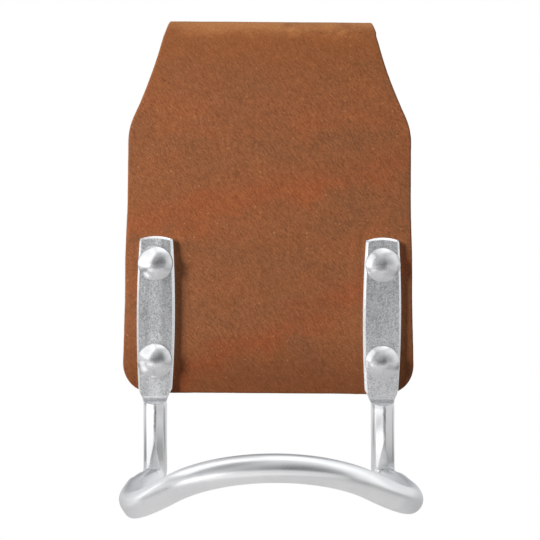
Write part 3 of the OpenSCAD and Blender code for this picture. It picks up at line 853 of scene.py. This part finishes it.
# ---------------------------------------------------------------- rivets and washers
def build_rivet(name, c, twist):
    head_r, rim, head_h = 4.75, 0.45, 3.0
    grip = PAD_T + 2 * T + 0.3 + 1.0
    prof = []
    dome_r, dome_h = 4.70, 1.97
    ball = (dome_r ** 2 + dome_h ** 2) / (2 * dome_h)
    a_rim = math.asin(dome_r / ball)
    for k in range(0, 29):
        a = a_rim * k / 28
        prof.append((ball * math.sin(a), head_h - ball * (1 - math.cos(a))))
    prof += [(4.745, 0.96), (4.76, 0.88), (4.755, 0.40), (4.74, 0.34)]
    prof += [(4.72, 0.29), (4.76, 0.27), (4.83, 0.25), (4.87, 0.19), (4.88, 0.11), (4.84, 0.02), (4.76, 0.0), (3.4, 0.0), (2.0, 0.0),
             (2.0, -grip * 0.5), (2.0, -grip + 0.02), (2.2, -grip), (2.9, -grip), (3.08, -grip - 0.1), (3.05, -grip - 0.3)]
    for k in range(1, 9):
        a = math.pi / 2 * k / 8
        prof.append((3.05 * math.cos(a) if k < 8 else 0.0, -grip - 0.3 - 0.6 * math.sin(a)))
    v, f = revolve([(0.0, prof[0][1])] + prof[1:], 96)
    # the cap sits a hair low and left of its flange, as set caps do
    m = v[:, 2] > 0.28
    v[m, 0] += -0.10 * twist[0]
    v[m, 1] += -0.08 * twist[1]
    P = np.c_[v[:, 0] + c[0], Y_FRONT - PAD_T - v[:, 2], v[:, 1] + c[2]]
    ob = make_object(name, P, f, [M_CAP], None, 40)
    bm_fix(ob)
    return ob


def build_burr(name, c):
    ri, ro, t = 2.06, 4.65, 1.0
    prof = [(ri, 0.08), (ri + 0.08, 0.0), (ro - 0.18, 0.0), (ro - 0.04, 0.08), (ro, 0.24), (ro, 0.62), (ro - 0.06, 0.78), (ro - 0.22, 0.86),
            (3.6, 0.93), (2.7, 0.98), (ri + 0.12, 1.0), (ri, 0.92)]
    seg, verts, faces = 80, [], []
    for r, h in prof:
        for k in range(seg):
            a = 2 * math.pi * k / seg
            verts.append((r * math.cos(a), r * math.sin(a), h))
    n = len(prof)
    for j in range(n):
        for k in range(seg):
            q, w = (j + 1) % n, (k + 1) % seg
            faces.append((j * seg + k, q * seg + k, q * seg + w, j * seg + w))
    v = np.array(verts)
    P = np.c_[v[:, 0] + c[0], Y_FLAP + v[:, 2], v[:, 1] + c[2]]
    ob = make_object(name, P, faces, [M_BURR], None, 40)
    bm_fix(ob)
    return ob


twists = {"upper_left": (1.0, 1.0), "upper_right": (1.3, 1.2), "lower_left": (0.9, -0.6), "lower_right": (0.8, 1.1)}
pieces = [(leather, "leather_body", "leather"), (loop, "steel_loop", "plated_steel")]
for n, c in RIVETS.items():
    pieces.append((build_rivet("rivet_" + n + "_piece", c, twists[n]), "rivet_" + n, "rivet_steel"))
    pieces.append((build_burr("burr_" + n + "_piece", centre("burr_" + n)), "burr_" + n, "washer_steel"))
for ob, node, slot in pieces:
    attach(ob, "root")
    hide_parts(node)


# ---------------------------------------------------------------- floor, light, camera
def build_floor():
    me = bpy.data.meshes.new("floor")
    z = (loop_lo[2] - 14.0) * MM
    n, R = 64, 9.0
    verts = [(0, 0, z)] + [(R * math.cos(2 * math.pi * k / n), R * math.sin(2 * math.pi * k / n), z) for k in range(n)]
    me.from_pydata(verts, [], [(0, 1 + k, 1 + (k + 1) % n) for k in range(n)])
    N = Nodes("floor_white")
    co = N.coord()
    x, y, _ = N.split(co)
    n1 = N.noise(N.scaled(co, (3, 3, 3)), 1.0, 2, 0.5)
    d = N.math("SQRT", N.math("ADD", N.math("POWER", x, 2.0), N.math("POWER", N.math("SUBTRACT", y, 0.02), 2.0)))
    sides = N.math("MAXIMUM", N.ramp(y, 0.02, 0.16, 0.0, 0.66), N.math("MAXIMUM", N.ramp(x, 0.16, 0.28, 0.0, 0.34), N.ramp(x, -0.16, -0.28, 0.0, 0.48)))
    lit = N.math("MAXIMUM", N.ramp(d, 0.115, 0.170, 0.48, 0.10), sides)
    kind = N.add("ShaderNodeLightPath", {}, None)
    lit = N.math("MULTIPLY", lit, N.math("SUBTRACT", 1.0, N.math("MULTIPLY", kind.outputs["Is Diffuse Ray"], 0.88)))
    N.bsdf(Base_Color=N.mix(n1, (0.30, 0.30, 0.30), (0.33, 0.33, 0.33)), Roughness=0.9, Specular_IOR_Level=0.1,
           Emission_Color=(1, 1, 1, 1), Emission_Strength=lit)
    surf = N.out.inputs[0].links[0].from_socket
    white = N.add("ShaderNodeEmission", {}, 0, Color=(1, 1, 1, 1), Strength=1.0)
    path = N.add("ShaderNodeLightPath", {}, None)
    m = N.t.nodes.new("ShaderNodeMixShader")
    N.t.links.new(path.outputs["Is Camera Ray"], m.inputs[0])
    N.t.links.new(surf, m.inputs[1])
    N.t.links.new(white, m.inputs[2])
    N.t.links.new(m.outputs[0], N.out.inputs[0])
    me.materials.append(N.mat)
    ob = bpy.data.objects.new("floor", me)
    bpy.context.scene.collection.objects.link(ob)


def area(name, loc, target, size_x, size_y, radiance, colour=(1, 1, 1)):
    """A soft box in millimetres; its brightness is the radiance a mirror would show."""
    li = bpy.data.lights.new(name, "AREA")
    li.shape = "RECTANGLE"
    li.size, li.size_y = size_x * MM, size_y * MM
    li.energy = radiance * math.pi * size_x * size_y * MM * MM
    li.color = colour
    ob = bpy.data.objects.new(name, li)
    ob.location = Vector(loc) * MM
    ob.rotation_mode = "QUATERNION"
    ob.rotation_quaternion = (Vector(target) - Vector(loc)).to_track_quat("-Z", "Y")
    ob.visible_camera = False
    bpy.context.scene.collection.objects.link(ob)
    return ob


def build_world():
    world = bpy.data.worlds.new("studio")
    bpy.context.scene.world = world
    world.use_nodes = True
    t = world.node_tree
    t.nodes.clear()

    def add(kind, **props):
        n = t.nodes.new(kind)
        for k, v in props.items():
            setattr(n, k, v)
        return n

    def lobe(v, direction, lo_c, hi_c, amount):
        """A soft patch of the studio round one direction."""
        dot = add("ShaderNodeVectorMath", operation="DOT_PRODUCT")
        t.links.new(v, dot.inputs[0])
        dot.inputs[1].default_value = tuple(Vector(direction).normalized())
        mr = add("ShaderNodeMapRange", interpolation_type="SMOOTHSTEP")
        t.links.new(dot.outputs["Value"], mr.inputs[0])
        for k, x in zip((1, 2, 3, 4), (lo_c, hi_c, 0.0, amount)):
            mr.inputs[k].default_value = x
        return mr.outputs[0]

    def plus(a, b):
        n = add("ShaderNodeMath", operation="ADD")
        t.links.new(a, n.inputs[0])
        if isinstance(b, float):
            n.inputs[1].default_value = b
        else:
            t.links.new(b, n.inputs[1])
        return n.outputs[0]

    co = add("ShaderNodeTexCoord").outputs["Generated"]
    # dim behind the camera, bright at the sides, above and behind the object
    dot = add("ShaderNodeVectorMath", operation="DOT_PRODUCT")
    t.links.new(co, dot.inputs[0])
    dot.inputs[1].default_value = tuple(Vector((0.28, -1.0, 0.02)).normalized())
    half = add("ShaderNodeMapRange")
    t.links.new(dot.outputs["Value"], half.inputs[0])
    for k, x in zip((1, 2, 3, 4), (-1.0, 1.0, 0.0, 1.0)):
        half.inputs[k].default_value = x
    ramp = add("ShaderNodeValToRGB")
    t.links.new(half.outputs[0], ramp.inputs[0])
    el = ramp.color_ramp.elements
    stops = ((-1.0, 0.80), (-0.2, 0.92), (0.15, 0.86), (0.55, 0.60), (0.84, 0.25), (1.0, 0.12))
    while len(el) < len(stops):
        el.new(0.5)
    for e_, (c_, v_) in zip(el, stops):
        e_.position = (c_ + 1) / 2
        e_.color = (v_, v_, v_, 1)
    e = add("ShaderNodeMath", operation="MULTIPLY")
    t.links.new(ramp.outputs[0], e.inputs[0])
    e.inputs[1].default_value = ENV_GAIN
    e = e.outputs[0]
    e = plus(e, lobe(co, (0.25, -0.1, 1.0), 0.55, 0.9, ENV_TOP))
    e = plus(e, lobe(co, (0.0, 0.85, 0.53), 0.85, 0.97, -0.50))
    e = plus(e, lobe(co, (-0.60, -0.10, 0.75), 0.62, 0.95, -0.48))
    e = plus(e, lobe(co, (-0.10, -0.88, 0.50), 0.86, 0.98, 0.20))
    cam, env, mix, lp, out = (add(k) for k in ("ShaderNodeBackground", "ShaderNodeBackground", "ShaderNodeMixShader",
                                               "ShaderNodeLightPath", "ShaderNodeOutputWorld"))
    cam.inputs[0].default_value = (1, 1, 1, 1)
    cam.inputs[1].default_value = 1.0
    env.inputs[0].default_value = (0.97, 0.985, 1.0, 1)
    dim = add("ShaderNodeMath", operation="MULTIPLY_ADD")      # less fill for the hide than the steel mirrors
    t.links.new(lp.outputs["Is Diffuse Ray"], dim.inputs[0])
    dim.inputs[1].default_value = ENV_FILL - 1.0
    dim.inputs[2].default_value = 1.0
    tot = add("ShaderNodeMath", operation="MULTIPLY")
    t.links.new(e, tot.inputs[0])
    t.links.new(dim.outputs[0], tot.inputs[1])
    t.links.new(tot.outputs[0], env.inputs[1])
    t.links.new(lp.outputs["Is Camera Ray"], mix.inputs[0])
    t.links.new(env.outputs[0], mix.inputs[1])
    t.links.new(cam.outputs[0], mix.inputs[2])
    t.links.new(mix.outputs[0], out.inputs[0])


ENV_GAIN, ENV_TOP, ENV_FILL = 1.0, 0.15, 0.19
build_floor()
build_world()
# what the steel mirrors: a ring of soft cards round a dark middle in front of the object
card = area("card_left", (-64, -60, 5), (0, -33, -9), 80, 128, 0.85)
card.rotation_quaternion = card.rotation_quaternion @ Quaternion((0, 0, 1), math.radians(-16))
cards = [card,
         area("strip_left", (-72, -36, -91), (-43, -20, -86), 24, 38, 0.72),
         area("card_far", (-78, -128, -108), (43, -20, -84), 72, 34, 0.62),
         area("card_right", (92, -62, -40), (40, -17, -50), 90, 130, 0.27),
         area("card_low", (-10, -112, -111), (0, -35, -98), 200, 46, 0.50)]
for c_ in cards:
    c_.visible_diffuse = False
# what lights the hide
key = area("key_left", (-500, -520, 170), (0, -14, -25), 220, 310, 24.0)
key.visible_glossy = False
area("top_soft", (20, -60, 190), (0, -20, 0), 260, 160, 0.46)
leather.visible_glossy = False

cam_data = bpy.data.cameras.new("camera")
cam_data.sensor_width = 36.0
cam_data.lens = 36.0 * 1150.0 / 540.0
cam_data.shift_x = 7.6 / 540.0
cam = bpy.data.objects.new("camera", cam_data)
cam.location = (-1.9 * MM, (Y_FRONT - 322.0) * MM, (Z_TOP - 70.8) * MM)
cam.rotation_euler = (math.radians(90), math.radians(-0.40), 0)
bpy.context.scene.collection.objects.link(cam)
bpy.context.scene.camera = cam

sc = bpy.context.scene
sc.view_settings.view_transform = "Standard"
sc.view_settings.look = "None"
sc.view_settings.exposure = 0.0
sc.view_settings.gamma = 1.0
